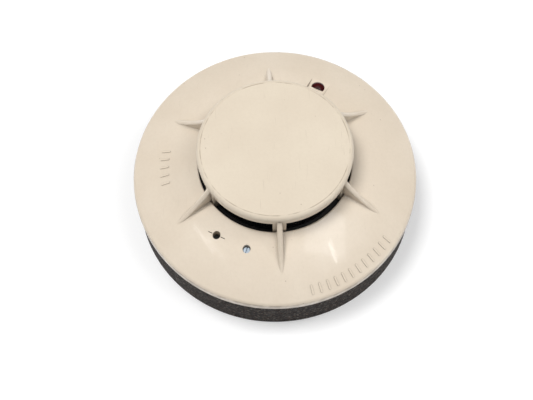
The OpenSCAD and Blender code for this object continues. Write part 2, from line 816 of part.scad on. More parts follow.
mounting_base();
contact_springs();
terminal_clamps();
terminal_screws();
chassis();
contact_blades();
contact_rivets();
circuit_board();
board_screws();
cover();
cover_screws();
seal_ring();
chamber_base();
insect_screen();
chamber_cap();
sensing_thermistor();
reference_thermistor();
led_lens();
led_emitter();
test_switch();
trimmer_body();
microcontroller();
electrolytic_capacitors();
chip_resistors();
chip_capacitors();
bridge_rectifier();
voltage_regulator();
surge_suppressor();
test_plunger();
trimmer_rotor();
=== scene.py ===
import math

import bmesh
import bpy
import numpy as np
from mathutils import Matrix, Vector


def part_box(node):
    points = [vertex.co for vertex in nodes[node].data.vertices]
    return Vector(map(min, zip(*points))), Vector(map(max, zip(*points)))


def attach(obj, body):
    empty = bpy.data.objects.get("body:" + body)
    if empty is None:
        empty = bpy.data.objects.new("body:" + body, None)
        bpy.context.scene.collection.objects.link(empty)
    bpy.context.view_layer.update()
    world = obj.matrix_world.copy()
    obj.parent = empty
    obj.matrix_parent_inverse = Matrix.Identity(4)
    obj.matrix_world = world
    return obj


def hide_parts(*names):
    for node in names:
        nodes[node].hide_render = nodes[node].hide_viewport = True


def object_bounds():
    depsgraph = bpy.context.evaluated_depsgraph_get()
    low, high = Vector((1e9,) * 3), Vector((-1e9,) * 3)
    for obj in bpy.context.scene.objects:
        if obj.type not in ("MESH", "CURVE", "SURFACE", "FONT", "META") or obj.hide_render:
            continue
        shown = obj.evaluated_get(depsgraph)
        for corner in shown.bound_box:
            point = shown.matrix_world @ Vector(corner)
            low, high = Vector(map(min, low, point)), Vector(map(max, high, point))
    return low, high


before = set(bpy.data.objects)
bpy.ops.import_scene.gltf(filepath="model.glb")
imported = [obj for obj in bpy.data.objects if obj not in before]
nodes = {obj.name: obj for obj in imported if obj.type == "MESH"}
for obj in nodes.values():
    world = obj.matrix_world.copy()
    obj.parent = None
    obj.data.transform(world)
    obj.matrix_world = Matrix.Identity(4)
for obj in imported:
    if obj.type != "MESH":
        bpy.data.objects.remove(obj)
cad_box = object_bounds()
mm = 0.001


# Mounting base -------------------------------------------------------------
# The round cup that is screwed to the ceiling and takes the cables. It is one injection moulding
# in dark grey plastic, coarse as sandpaper on its side wall, with pale filler specks in it.


def shade(red, green, blue):
    """Scene-linear colour of a display colour from 0 to 255: divided by 255, then put through the display's
    own curve, which is straight near black and a power of 2.4 above that."""
    v = np.array([red, green, blue]) / 255.0
    straight, curved = v / 12.92, ((v + 0.055) / 1.055) ** 2.4
    return (*np.where(v <= 0.04045, straight, curved).tolist(), 1.0)


def finish_sheet(name, roughness, **same_all_over):
    """An empty finish: one shader, with the sockets that are the same all over the surface set directly."""
    mat = bpy.data.materials.new(name)
    mat.use_nodes = True
    shader = mat.node_tree.nodes["Principled BSDF"]
    shader.inputs["Roughness"].default_value = roughness
    for socket, value in same_all_over.items():
        shader.inputs[socket.replace("_", " ")].default_value = value
    return mat, mat.node_tree, shader


def wire(tree, value, socket):
    """Puts a value on a socket, or links an output to it."""
    if isinstance(value, bpy.types.NodeSocket):
        tree.links.new(value, socket)
    else:
        socket.default_value = value


def on_piece(tree, stretch=(1, 1, 1), turn=(0, 0, 0)):
    """The piece's own coordinates in metres, stretched and turned."""
    place = tree.nodes.new("ShaderNodeTexCoord")
    mapping = tree.nodes.new("ShaderNodeMapping")
    mapping.inputs["Scale"].default_value = stretch
    mapping.inputs["Rotation"].default_value = turn
    tree.links.new(place.outputs["Object"], mapping.inputs["Vector"])
    return mapping.outputs["Vector"]


def blotches(tree, size, detail=3.0, coordinates=None):
    """Soft noise from 0 to 1 whose blotches are about size metres across."""
    noise = tree.nodes.new("ShaderNodeTexNoise")
    noise.inputs["Scale"].default_value = 1.0 / size
    noise.inputs["Detail"].default_value = detail
    tree.links.new(coordinates or on_piece(tree), noise.inputs["Vector"])
    return noise.outputs["Fac"]


def grains(tree, size, coordinates=None):
    """Distance from the middle of each grain, in grains that are size metres apart."""
    cells = tree.nodes.new("ShaderNodeTexVoronoi")
    cells.inputs["Scale"].default_value = 1.0 / size
    tree.links.new(coordinates or on_piece(tree), cells.inputs["Vector"])
    return cells.outputs["Distance"]


def ramp(tree, source, *stops):
    """Colours along a source: each stop is a place from 0 to 1 and the colour or grey level there."""
    node = tree.nodes.new("ShaderNodeValToRGB")
    bar = node.color_ramp
    while len(bar.elements) < len(stops):
        bar.elements.new(0.5)
    for element, (place, colour) in zip(bar.elements, stops):
        element.position = place
        element.color = colour if isinstance(colour, tuple) else (colour, colour, colour, 1.0)
    tree.links.new(source, node.inputs["Fac"])
    return node.outputs["Color"]


def laid_over(tree, amount, under, over):
    """One colour over another, by an amount from 0 to 1."""
    mix = tree.nodes.new("ShaderNodeMix")
    mix.data_type = "RGBA"
    for value, socket in zip((amount, under, over), (mix.inputs[0], mix.inputs[6], mix.inputs[7])):
        wire(tree, value, socket)
    return mix.outputs[2]


def maths(tree, kind, a, b):
    """Arithmetic on two values; kind is the operation's name."""
    node = tree.nodes.new("ShaderNodeMath")
    node.operation = kind
    wire(tree, a, node.inputs[0])
    wire(tree, b, node.inputs[1])
    return node.outputs[0]


def relief(tree, shader, *waves):
    """Bump made of several height fields, each with its depth in metres."""
    below = None
    for height, depth in waves:
        bump = tree.nodes.new("ShaderNodeBump")
        bump.inputs["Distance"].default_value = depth
        tree.links.new(height, bump.inputs["Height"])
        if below is not None:
            tree.links.new(below, bump.inputs["Normal"])
        below = bump.outputs["Normal"]
    tree.links.new(below, shader.inputs["Normal"])


def put_on(finish, *names):
    """Gives CAD nodes a finish, in the material slots of their objects."""
    for name in names:
        mesh = nodes[name].data
        mesh.materials.clear()
        mesh.materials.append(finish)


base_finish, tree, shader = finish_sheet("coarse_base_plastic", 0.8, Specular_IOR_Level=0.25)
tone = ramp(tree, blotches(tree, 7 * mm, 5), (0.36, shade(22, 17, 14)), (0.64, shade(40, 32, 27)))
brown_specks = blotches(tree, 1.6 * mm, 2, on_piece(tree, (1, 1, 1.4), (0.9, 0.1, 0)))
brown = ramp(tree, brown_specks, (0.52, 0.0), (0.62, 0.65))
pale = ramp(tree, blotches(tree, 1.4 * mm, 2), (0.57, 0.0), (0.66, 0.6))
dark_specks = blotches(tree, 1.5 * mm, 2, on_piece(tree, (1, 1, 1.3), (0.4, 0.2, 0)))
dark = ramp(tree, dark_specks, (0.38, 0.8), (0.46, 0.0))
tone = laid_over(tree, brown, tone, shade(70, 52, 43))
tone = laid_over(tree, dark, tone, shade(14, 11, 10))
tone = laid_over(tree, pale, tone, shade(112, 102, 93))
wire(tree, tone, shader.inputs["Base Color"])
wire(tree, ramp(tree, blotches(tree, 2 * mm), (0.3, 0.62), (0.7, 0.9)), shader.inputs["Roughness"])
relief(tree, shader, (blotches(tree, 0.7 * mm, 3), 0.35 * mm), (blotches(tree, 5 * mm, 2), 0.25 * mm))
put_on(base_finish, "mounting_base")


# Contact springs -----------------------------------------------------------
# Strips of phosphor bronze under the four terminals, each bent into a jaw for one blade of the
# head. Blanked and folded on a press, so they keep a rolled grain and a brown bloom.


def worn_metal(name, bright, dull, roughness, streak):
    """Rolled or plated metal: two tones in blotches, fine parallel streaks in colour and relief, and uneven
    gloss. The streaks run along the axis whose factor in streak is the smallest."""
    mat, tree, shader = finish_sheet(name, roughness, Metallic=1.0)
    tone = ramp(tree, blotches(tree, 3.0 * mm, 4), (0.35, dull), (0.65, bright))
    lines = blotches(tree, 0.3 * mm, 2, on_piece(tree, streak))
    tone = laid_over(tree, ramp(tree, lines, (0.55, 0.0), (0.75, 0.35)), tone, dull)
    wire(tree, tone, shader.inputs["Base Color"])
    spread = ramp(tree, blotches(tree, 2.0 * mm), (0.3, roughness - 0.08), (0.7, roughness + 0.12))
    wire(tree, spread, shader.inputs["Roughness"])
    relief(tree, shader, (lines, 0.01 * mm))
    return mat


bronze = worn_metal("phosphor_bronze", shade(205, 150, 92), shade(140, 94, 56), 0.34, (1, 1, 0.08))
put_on(bronze, "contact_springs")


# Terminal clamps and screws ------------------------------------------------
# Square steel plates with turned-down edges and the screws that pull them onto the wires. Both
# are zinc plated: bright, slightly blue, with a cloudy bloom.

zinc = worn_metal("zinc_plated_steel", shade(205, 208, 212), shade(142, 146, 152), 0.30, (1, 0.1, 1))
put_on(zinc, "terminal_clamps", "terminal_screws")


# Back plate of the head ----------------------------------------------------
# Ivory moulding with the bayonet lugs, the collar and the board pillars. Its hidden faces keep
# the fine matt texture of the mould.


def satin_plastic(name, light, deep, roughness, grain, depth):
    """Matt moulded plastic: two tones in blotches, a pale bloom, a fine grain in relief."""
    mat, tree, shader = finish_sheet(name, roughness)
    tone = ramp(tree, blotches(tree, 14 * mm, 4), (0.3, deep), (0.7, light))
    bloom = ramp(tree, blotches(tree, 1.1 * mm, 3), (0.45, 0.0), (0.8, 0.25))
    wire(tree, laid_over(tree, bloom, tone, light), shader.inputs["Base Color"])
    spread = ramp(tree, blotches(tree, 5 * mm), (0.3, roughness - 0.07), (0.7, roughness + 0.1))
    wire(tree, spread, shader.inputs["Roughness"])
    relief(tree, shader, (blotches(tree, grain, 2), depth))
    return mat


back_plate_finish = satin_plastic(
    "ivory_back_plate", shade(224, 211, 190), shade(208, 193, 170), 0.5, 0.35 * mm, 0.02 * mm)
put_on(back_plate_finish, "chassis")


# Contact blades and rivets -------------------------------------------------
# Four phosphor bronze blades that reach down into the jaws of the base. Each stands on a foot that
# a turned brass rivet clamps to the back plate, and the rivet carries the line up to the board.

brass = worn_metal("turned_brass", shade(222, 186, 108), shade(160, 126, 66), 0.28, (0.1, 0.1, 1))
put_on(bronze, "contact_blades")
put_on(brass, "contact_rivets")


# Circuit board -------------------------------------------------------------
# Round board of glass-epoxy laminate, routed from a panel: green lacquer over copper tracks, and
# tinned vias. Three zinc-plated screws hold it on the pillars of the back plate.

board_finish, tree, shader = finish_sheet("green_laminate", 0.32, Coat_Weight=0.4, Coat_Roughness=0.12)
cells = tree.nodes.new("ShaderNodeTexVoronoi")
cells.feature, cells.distance = "F1", "MANHATTAN"
cells.inputs["Scale"].default_value = 1 / (3.2 * mm)
wire(tree, on_piece(tree), cells.inputs["Vector"])
track = ramp(tree, cells.outputs["Distance"], (0.50, 0.0), (0.52, 1.0), (0.66, 1.0), (0.68, 0.0))
via = ramp(tree, grains(tree, 4.2 * mm), (0.07, 1.0), (0.085, 0.0))
tone = ramp(tree, blotches(tree, 18 * mm), (0.3, shade(14, 62, 38)), (0.7, shade(20, 76, 46)))
tone = laid_over(tree, track, tone, shade(52, 112, 62))
tone = laid_over(tree, via, tone, shade(190, 192, 188))
wire(tree, tone, shader.inputs["Base Color"])
wire(tree, via, shader.inputs["Metallic"])
relief(tree, shader, (track, 0.03 * mm), (blotches(tree, 0.25 * mm, 2), 0.006 * mm))
put_on(board_finish, "circuit_board")
put_on(zinc, "board_screws")


# Parts on the board --------------------------------------------------------
# Black epoxy packages with tinned legs, thick-film resistors, buff ceramic capacitors, the blue
# surge disc, the test switch and the trimmer's body. All are bought in and soldered.


def epoxy_package(name, body, leg, leg_top):
    """Moulded package over tinned legs: everything lower than leg_top is metal, the rest is matt epoxy."""
    mat, tree, shader = finish_sheet(name, 0.5)
    place = tree.nodes.new("ShaderNodeTexCoord")
    split = tree.nodes.new("ShaderNodeSeparateXYZ")
    tree.links.new(place.outputs["Object"], split.inputs["Vector"])
    is_leg = maths(tree, "LESS_THAN", split.outputs["Z"], leg_top)
    tone = ramp(tree, blotches(tree, 0.8 * mm, 4), (0.3, body[0]), (0.7, body[1]))
    wire(tree, laid_over(tree, is_leg, tone, leg), shader.inputs["Base Color"])
    wire(tree, is_leg, shader.inputs["Metallic"])
    relief(tree, shader, (blotches(tree, 0.12 * mm, 2), 0.008 * mm))
    return mat


board_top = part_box("circuit_board")[1].z
tin = shade(186, 188, 190)
black_epoxy = (shade(26, 26, 28), shade(40, 40, 42))
packages = [
    # finish, its two tones, how far its metal reaches above the board, and the nodes that have it
    ("black_epoxy", black_epoxy, 0.75 * mm, ["microcontroller", "bridge_rectifier", "voltage_regulator"]),
    ("thick_film", (shade(22, 22, 24), shade(46, 46, 50)), 0.08 * mm, ["chip_resistors"]),
    ("buff_ceramic", (shade(168, 140, 108), shade(190, 162, 128)), 0.1 * mm, ["chip_capacitors"]),
    ("blue_epoxy_disc", (shade(26, 56, 128), shade(38, 74, 152)), 1.0 * mm, ["surge_suppressor"]),
    ("switch_shell", (shade(44, 48, 50), shade(60, 64, 66)), 0.3 * mm, ["test_switch"]),
    ("trimmer_shell", (shade(44, 84, 128), shade(58, 102, 148)), 0.3 * mm, ["trimmer_body"]),
]
for package, tones, metal_height, parts in packages:
    put_on(epoxy_package(package, tones, tin, board_top + metal_height), *parts)


# Electrolytic capacitors ---------------------------------------------------
# Drawn aluminium cans: rolled in above the rubber bung, a soft shoulder, a scored top that can
# vent. Each replaces a plain can of the same size.


def faces_of(rows, columns, close_rows, close_columns):
    """Quads of a grid: each joins a point, the next in its row, and the two in the row after. Closing joins
    the last row or column to the first."""
    i = np.arange(rows if close_rows else rows - 1)[:, None]
    j = np.arange(columns if close_columns else columns - 1)[None, :]
    after, beside = (i + 1) % rows, (j + 1) % columns
    quads = [i * columns + j, i * columns + beside, after * columns + beside, after * columns + j]
    return np.stack([np.broadcast_to(q, (len(i), j.shape[1])) for q in quads], -1).reshape(-1, 4)


def lathe(profile, steps=96, centre=(0, 0), closed=False):
    """Profile points (radius, height) carried round an upright axis at centre: x = radius times cos a and
    y = radius times sin a, for steps even angles a. A closed profile joins its last point to its first."""
    profile = np.asarray(profile, float)
    a = np.linspace(0, 2 * np.pi, steps, endpoint=False)[:, None]
    r, z = profile[:, 0], profile[:, 1]
    grid = np.stack([centre[0] + r * np.cos(a), centre[1] + r * np.sin(a), z + 0 * a], -1)
    return grid.reshape(-1, 3), faces_of(steps, len(profile), True, closed)


def rounded(corners, radius, steps=6):
    """Outline through corners, each inner one replaced by a quadratic curve that starts and ends radius
    away from it, or halfway to the next corner where that is nearer."""
    corners = np.asarray(corners, float)
    line = [corners[:1]]
    t = np.linspace(0, 1, steps)[:, None]
    for before, corner, after in zip(corners[:-2], corners[1:-1], corners[2:]):
        into, out = before - corner, after - corner
        start = corner + into * min(radius / np.linalg.norm(into), 0.5)
        end = corner + out * min(radius / np.linalg.norm(out), 0.5)
        line.append((1 - t) ** 2 * start + 2 * t * (1 - t) * corner + t ** 2 * end)
    return np.concatenate(line + [corners[-1:]])


def piece(name, shells, finish, body, replaced=(), crease=40):
    """One object from closed shells, with doubles merged, faces turned outwards and edges sharper than
    crease, in degrees, kept. It rides on a body, and stands in the place of the replaced nodes."""
    merge = 1e-7
    counts = np.cumsum([0] + [len(p) for p, _ in shells])
    points = np.concatenate([p for p, _ in shells])
    faces = np.concatenate([f + n for (_, f), n in zip(shells, counts)])
    mesh = bpy.data.meshes.new(name)
    mesh.from_pydata(points.tolist(), [], faces.tolist())
    work = bmesh.new()
    work.from_mesh(mesh)
    bmesh.ops.remove_doubles(work, verts=work.verts, dist=merge)
    bmesh.ops.dissolve_degenerate(work, edges=work.edges, dist=merge)
    bmesh.ops.recalc_face_normals(work, faces=work.faces)
    work.to_mesh(mesh)
    work.free()
    mesh.shade_smooth()
    mesh.set_sharp_from_angle(angle=math.radians(crease))
    mesh.materials.append(finish)
    made = bpy.data.objects.new(name, mesh)
    bpy.context.scene.collection.objects.link(made)
    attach(made, body)
    if replaced:
        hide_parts(*replaced)
    return made


can_r, can_h, top_sunk, can_round = 4.0 * mm, 7.4 * mm, 0.25 * mm, 0.35 * mm
can_spots = [(44 * mm, math.radians(a)) for a in (165, 181)]
foot_line = [(0, 0), (can_r * 0.9, 0), (can_r, 0.3 * mm)]
rolled_groove = [(can_r, 1.3 * mm), (can_r * 0.93, 1.6 * mm), (can_r, 1.9 * mm)]
top_line = [(can_r, can_h), (can_r * 0.82, can_h), (can_r * 0.78, can_h - top_sunk), (0, can_h - top_sunk)]
can_line = rounded(foot_line + rolled_groove + top_line, can_round)
can_line[:, 1] += board_top
cans = [lathe(can_line, 48, (r * math.cos(a), r * math.sin(a))) for r, a in can_spots]
can_finish = worn_metal("drawn_aluminium", shade(214, 216, 218), shade(160, 162, 166), 0.26, (1, 1, 0.05))
piece("capacitor_cans", cans, can_finish, "head", ["electrolytic_capacitors"])


# Chamber floor -------------------------------------------------------------
# Black injection moulding that closes the housing under the vents and carries the sensing bead's
# leads through its middle. It stands on three legs that drop into holes in the board.

chamber_finish = satin_plastic(
    "black_chamber_plastic", shade(34, 33, 33), shade(22, 21, 22), 0.55, 0.4 * mm, 0.02 * mm)
put_on(chamber_finish, "chamber_base")


# Sensing beads -------------------------------------------------------------
# Resin-dipped bead thermistors: a drop-shaped bead that runs down onto its two tinned leads. One
# stands in the air under the cap, one on the board as a reference.


def along(path, half, sides=6, closed=False):
    """Round wire: a circle of radius half carried along a path and square to it. Its first direction is
    square to the path and to the line from the axis. An open wire is closed by its two end points."""
    path = np.asarray(path, float)
    ahead = np.roll(path, -1, 0) - np.roll(path, 1, 0) if closed else np.gradient(path, axis=0)
    ahead /= np.linalg.norm(ahead, axis=1)[:, None]
    out = path * (1, 1, 0) + (1e-9, 0, 0)
    side = np.cross(ahead, out)
    side /= np.linalg.norm(side, axis=1)[:, None]
    up = np.cross(side, ahead)
    a = np.linspace(0, 2 * np.pi, sides, endpoint=False)[None, :, None]
    ring = path[:, None] + half * (np.cos(a) * side[:, None] + np.sin(a) * up[:, None])
    if closed:
        return ring.reshape(-1, 3), faces_of(len(path), sides, True, True)
    ring = np.concatenate([path[:1, None].repeat(sides, 1), ring, path[-1:, None].repeat(sides, 1)])
    return ring.reshape(-1, 3), faces_of(len(path) + 2, sides, False, True)


bead_low, bead_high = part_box("sensing_thermistor")
bead_r, bead_taper = 1.3 * mm, 0.12
lead_x, lead_x_in_bead, lead_r, lead_bend = 1.3 * mm, 0.5 * mm, 0.25 * mm, 0.8
bead_z = bead_high.z - bead_r
turn = np.linspace(-0.5, 0.5, 25) * np.pi
across, up = np.cos(turn), np.sin(turn)
drop = np.stack([bead_r * across * (1 - bead_taper * up), bead_z + bead_r * up], -1)
lead_rise = np.linspace(0, 1, 14)[:, None]
leads = []
for side in (-1, 1):
    sweep = np.clip((lead_rise - lead_bend) / (1 - lead_bend), 0, 1) ** 2
    x = side * (lead_x * (1 - sweep) + lead_x_in_bead * sweep)
    leads.append(along(np.hstack([x, 0 * x, bead_low.z + lead_rise * (bead_z - bead_low.z)]), lead_r, 8))
resin, tree, shader = finish_sheet("dipped_resin", 0.22, Coat_Weight=0.6, Coat_Roughness=0.05)
tone = ramp(tree, blotches(tree, 0.9 * mm, 4), (0.3, shade(84, 44, 22)), (0.7, shade(118, 66, 34)))
wire(tree, tone, shader.inputs["Base Color"])
relief(tree, shader, (blotches(tree, 0.6 * mm), 0.03 * mm))
piece("sensing_bead", [lathe(drop, 32)], resin, "head", ["sensing_thermistor"])
piece("sensing_leads", leads, zinc, "head")
put_on(resin, "reference_thermistor")


# Insect screen -------------------------------------------------------------
# Cylinder of woven steel gauze between two pressed hoops, blackened, that keeps insects off the
# sensing bead. Uprights and hoops pass over and under each other.

screen_low, screen_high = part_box("insect_screen")
band_h, band_half, tucked_in = 1.8 * mm, 0.4 * mm, 0.3 * mm
wire_half, weave = 0.13 * mm, 0.12 * mm
uprights, hoops = 180, 9
mid_r = screen_high.x - band_half
first_z, last_z = screen_low.z + band_h - tucked_in, screen_high.z - band_h + tucked_in
pitch = (last_z - first_z) / (hoops - 1)
z = np.linspace(first_z, last_z, 2 * hoops - 1)
wires = []
for i in range(uprights):
    a = 2 * math.pi * i / uprights
    r = mid_r + weave * (-1) ** i * np.cos(np.pi * (z - first_z) / pitch)
    wires.append(along(np.stack([r * math.cos(a), r * math.sin(a), z], -1), wire_half, 4))
a = np.linspace(0, 2 * np.pi, 2 * uprights, endpoint=False)
for j in range(hoops):
    r = mid_r - weave * (-1) ** j * np.cos(uprights / 2 * a)
    hoop = np.stack([r * np.cos(a), r * np.sin(a), 0 * a + first_z + j * pitch], -1)
    wires.append(along(hoop, wire_half, 4, True))
inner_r, outer_r = mid_r - band_half, mid_r + band_half
for low_z in (screen_low.z, screen_high.z - band_h):
    band = [(inner_r, low_z), (outer_r, low_z), (outer_r, low_z + band_h), (inner_r, low_z + band_h)]
    wires.append(lathe(band, 180, closed=True))
gauze = worn_metal("blackened_gauze", shade(70, 70, 72), shade(34, 34, 36), 0.45, (1, 1, 1))
piece("woven_screen", wires, gauze, "head", ["insect_screen"])


# Indicator -----------------------------------------------------------------
# A small light-emitting diode on the board under a D-shaped lens of deep red acrylic, polished
# and domed, pressed into the recess of the cover.

emitter, tree, shader = finish_sheet("milky_emitter", 0.25, Coat_Weight=0.5)
tone = ramp(tree, blotches(tree, 0.8 * mm), (0.3, shade(226, 206, 200)), (0.7, shade(238, 222, 216)))
wire(tree, tone, shader.inputs["Base Color"])
put_on(emitter, "led_emitter")

acrylic, tree, shader = finish_sheet(
    "deep_red_acrylic", 0.05, Coat_Weight=0.7, Coat_Roughness=0.02, IOR=1.49, Specular_IOR_Level=0.3)
tone = ramp(tree, blotches(tree, 3 * mm, 2), (0.35, shade(46, 2, 4)), (0.65, shade(64, 4, 6)))
wire(tree, tone, shader.inputs["Base Color"])
wire(tree, ramp(tree, blotches(tree, 1.2 * mm), (0.3, 0.03), (0.7, 0.07)), shader.inputs["Roughness"])
put_on(acrylic, "led_lens")


# Test button and trimmer shaft ---------------------------------------------
# A dark plunger deep in the test hole and, beside it, the pale blue-grey shaft of the trimmer
# with its screwdriver slot. Both are turned nylon.

plunger_finish = satin_plastic(
    "dark_plunger_nylon", shade(26, 25, 24), shade(14, 13, 13), 0.35, 0.25 * mm, 0.02 * mm)
shaft_finish = satin_plastic(
    "pale_shaft_nylon", shade(196, 208, 218), shade(166, 180, 194), 0.35, 0.3 * mm, 0.01 * mm)
put_on(plunger_finish, "test_plunger")
put_on(shaft_finish, "trimmer_rotor")


# Seal ----------------------------------------------------------------------
# Ring punched from black closed-cell foam. The cover's screws press it between back plate and
# cover, where it keeps dust and draughts out of the head.

foam, tree, shader = finish_sheet("black_foam", 0.95, Sheen_Weight=0.2)
pore = ramp(tree, grains(tree, 0.5 * mm), (0.1, shade(12, 12, 12)), (0.45, shade(44, 43, 42)))
wire(tree, pore, shader.inputs["Base Color"])
relief(tree, shader, (grains(tree, 0.5 * mm), 0.2 * mm))
put_on(foam, "seal_ring")


# Cover ---------------------------------------------------------------------
# The ivory front of the head: flange, fins, posts and ring in one glossy ABS moulding, held by
# three screws from behind. It has yellowed a little, and carries fine scratches and ceiling dust.


def from_axis(tree):
    """Distance of a point from the detector's axis, in metres."""
    place = tree.nodes.new("ShaderNodeTexCoord")
    flat = tree.nodes.new("ShaderNodeVectorMath")
    flat.operation = "MULTIPLY"
    flat.inputs[1].default_value = (1, 1, 0)
    length = tree.nodes.new("ShaderNodeVectorMath")
    length.operation = "LENGTH"
    tree.links.new(place.outputs["Object"], flat.inputs[0])
    tree.links.new(flat.outputs["Vector"], length.inputs[0])
    return length.outputs["Value"]


def scratches(tree, turn, sharp):
    """Thin lines along one direction: noise that is squeezed across the line and cut off near its top."""
    lines = blotches(tree, 1 * mm, 1, on_piece(tree, (2.6, 0.05, 0.4), (0, 0, turn)))
    return ramp(tree, lines, (sharp, 0.0), (sharp + 0.03, 1.0))


def ivory(name, light, deep, wear, gloss, matt, flow, dark_line_r=0.0):
    """Ivory plastic: two tones in slow blotches, painted shade in its corners, specks and scratches laid
    over them.
    Gloss is the weight of the clear skin, flow the depth of the faint flow lines, and dark_line_r the
    radius of a thin, broken, darker brownish line, or 0 for none."""
    mat, tree, shader = finish_sheet(name, matt, Coat_Weight=gloss, Coat_Roughness=0.075)
    tone = ramp(tree, blotches(tree, 22 * mm, 4), (0.3, deep), (0.7, light))
    haze = ramp(tree, blotches(tree, 1.6 * mm, 3), (0.4, 0.0), (0.8, 0.10))
    tone = laid_over(tree, haze, tone, shade(188, 172, 150))
    # Painted shade: ambient occlusion darkens corners, crevices and the roots of the fins towards a dirt
    # brown.
    corner = tree.nodes.new("ShaderNodeAmbientOcclusion")
    corner.samples = 8
    corner.inputs["Distance"].default_value = 2.2 * mm
    corner_shade = ramp(tree, corner.outputs["AO"], (0.35, 0.75), (0.92, 0.0))
    tone = laid_over(tree, corner_shade, tone, shade(100, 86, 70))
    speck = ramp(tree, grains(tree, 5.5 * mm), (0.035, 0.6), (0.06, 0.0))
    some = ramp(tree, blotches(tree, 14 * mm, 1, on_piece(tree, turn=(0.3, 0, 1))), (0.5, 0.0), (0.6, 1.0))
    tone = laid_over(tree, maths(tree, "MULTIPLY", speck, some), tone, shade(128, 100, 78))
    lines = maths(tree, "MAXIMUM", scratches(tree, 0.5, 0.74), scratches(tree, 2.1, 0.75))
    tone = laid_over(tree, maths(tree, "MULTIPLY", lines, wear), tone, shade(164, 148, 128))
    # A thin, broken line darkened towards brown at one radius; on the cover's rim this is painted shade,
    # partly dirt.
    if dark_line_r:
        reach = 1.2 * mm
        off_line = maths(tree, "ABSOLUTE", maths(tree, "SUBTRACT", from_axis(tree), dark_line_r), 0.0)
        thin = ramp(tree, maths(tree, "MULTIPLY", off_line, 1 / reach), (0.08, 0.6), (0.30, 0.0))
        broken = ramp(tree, blotches(tree, 6 * mm, 5), (0.40, 0.1), (0.60, 1.0))
        tone = laid_over(tree, maths(tree, "MULTIPLY", thin, broken), tone, shade(142, 122, 100))
    wire(tree, tone, shader.inputs["Base Color"])
    spread = ramp(tree, blotches(tree, 12 * mm, 5), (0.3, matt - 0.08), (0.7, matt + 0.08))
    wire(tree, spread, shader.inputs["Roughness"])
    streak = blotches(tree, 3.2 * mm, 2, on_piece(tree, (1, 0.22, 0.22), (0, 0, 0.25)))
    relief(tree, shader, (blotches(tree, 9 * mm, 2), flow), (streak, flow * 0.5),
           (blotches(tree, 0.5 * mm, 2), 0.004 * mm), (lines, -0.006 * mm))
    return mat


# The cover's darker line at the rim is painted shade on its rounded edge, partly dirt; its corners get
# painted shade too.
cover_finish = ivory("ivory_cover_plastic", shade(225, 212, 194), shade(220, 206, 187),
                     wear=0.12, gloss=0.5, matt=0.36, flow=0.06 * mm, dark_line_r=77.4 * mm)
put_on(cover_finish, "cover")
put_on(zinc, "cover_screws")


# Roots of the fins ---------------------------------------------------------
# Part of the cover's moulding: where each of the six fins meets the flange, the mould has a soft
# hollow fillet. It grows with the fin's height and dies out at the fin's tip.


def arc_centre(a, b, ra, rb, side):
    """Point at distance ra from point a and rb from point b, on one side of the line between them. With d
    the distance from a to b, it lies (ra squared - rb squared + d squared) / 2d forward along that line,
    and off it by what Pythagoras leaves."""
    a, b = np.array(a), np.array(b)
    d = np.linalg.norm(b - a)
    u = (b - a) / d
    forward = (ra * ra - rb * rb + d * d) / (2 * d)
    return a + forward * u + side * math.sqrt(ra * ra - forward * forward) * np.array([u[1], -u[0]])


rim_r, rim_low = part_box("cover")[1].x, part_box("cover")[0].z
crown, rim_round, rise = 200 * mm, 2.5 * mm, 15 * mm
lip_r, lip_z = 41.2 * mm, rim_low + rim_round + rise
rim_centre = (rim_r - rim_round, rim_low + rim_round)
crown_x, crown_z = arc_centre((lip_r, lip_z), rim_centre, crown, crown - rim_round, 1)


def flange_z(r):
    """Height of the flange at radius r, on an arc of radius crown about a centre below the flange."""
    return crown_z + np.sqrt(crown ** 2 - (r - crown_x) ** 2)


fin_half, fin_tip_half, fin_start_r, tip_r, hollow = 1.5 * mm, 1.15 * mm, 39 * mm, 62.3 * mm, 76 * mm
taper_end_r = tip_r + 3 * mm
taper_length = taper_end_r - fin_start_r
nose = (40.0 * mm, 53.0 * mm)
tip_sunk = fin_half * 0.9
tip = (tip_r - fin_half / 2, flange_z(tip_r) - tip_sunk)
hollow_x, hollow_z = arc_centre(nose, tip, hollow, hollow, -1)


